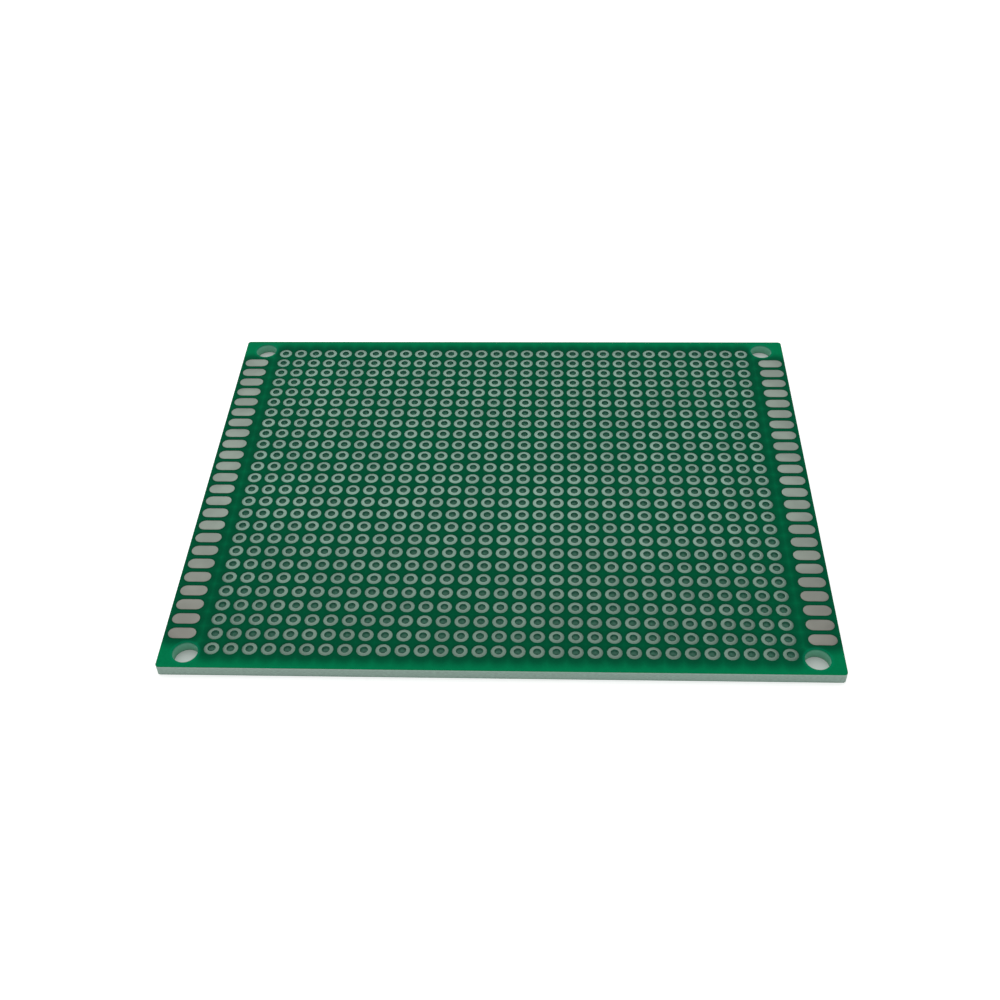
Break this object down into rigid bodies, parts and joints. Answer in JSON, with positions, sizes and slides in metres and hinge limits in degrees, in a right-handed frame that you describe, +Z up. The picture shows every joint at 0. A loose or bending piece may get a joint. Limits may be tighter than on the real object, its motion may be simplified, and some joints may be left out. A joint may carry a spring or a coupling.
{
  "type": "prototype circuit board",
  "caption": "Double-sided prototype circuit board with a full grid of plated through-holes, oval edge pads and corner mounting holes.",
  "frame": {"origin": "centre of the underside, on the surface that the board lies on", "axes": "+Z up out of the upper face, +X along the long edges to the right, +Y along the short edges to the rear"},
  "size_m": [0.09, 0.07, 0.0016],
  "materials": {
    "laminate": "pale glass-fibre and epoxy, satin, slightly see-through",
    "solder_mask": "green solder mask, semi-gloss",
    "tinned_copper": "hot-tinned copper, satin silver"
  },
  "bodies": {
    "root": {"laminate": "laminate", "mask_top": "solder_mask", "mask_bottom": "solder_mask", "hole_plating_row_01": "tinned_copper", "hole_plating_row_02": "tinned_copper", "hole_plating_row_03": "tinned_copper", "hole_plating_row_04": "tinned_copper", "hole_plating_row_05": "tinned_copper", "hole_plating_row_06": "tinned_copper", "hole_plating_row_07": "tinned_copper", "hole_plating_row_08": "tinned_copper", "hole_plating_row_09": "tinned_copper", "hole_plating_row_10": "tinned_copper", "hole_plating_row_11": "tinned_copper", "hole_plating_row_12": "tinned_copper", "hole_plating_row_13": "tinned_copper", "hole_plating_row_14": "tinned_copper", "hole_plating_row_15": "tinned_copper", "hole_plating_row_16": "tinned_copper", "hole_plating_row_17": "tinned_copper", "hole_plating_row_18": "tinned_copper", "hole_plating_row_19": "tinned_copper", "hole_plating_row_20": "tinned_copper", "hole_plating_row_21": "tinned_copper", "hole_plating_row_22": "tinned_copper", "hole_plating_row_23": "tinned_copper", "hole_plating_row_24": "tinned_copper", "hole_plating_row_25": "tinned_copper", "hole_plating_row_26": "tinned_copper", "edge_pads_left_top": "tinned_copper", "edge_pads_right_top": "tinned_copper", "edge_pads_left_bottom": "tinned_copper", "edge_pads_right_bottom": "tinned_copper"}
  },
  "joints": []
}
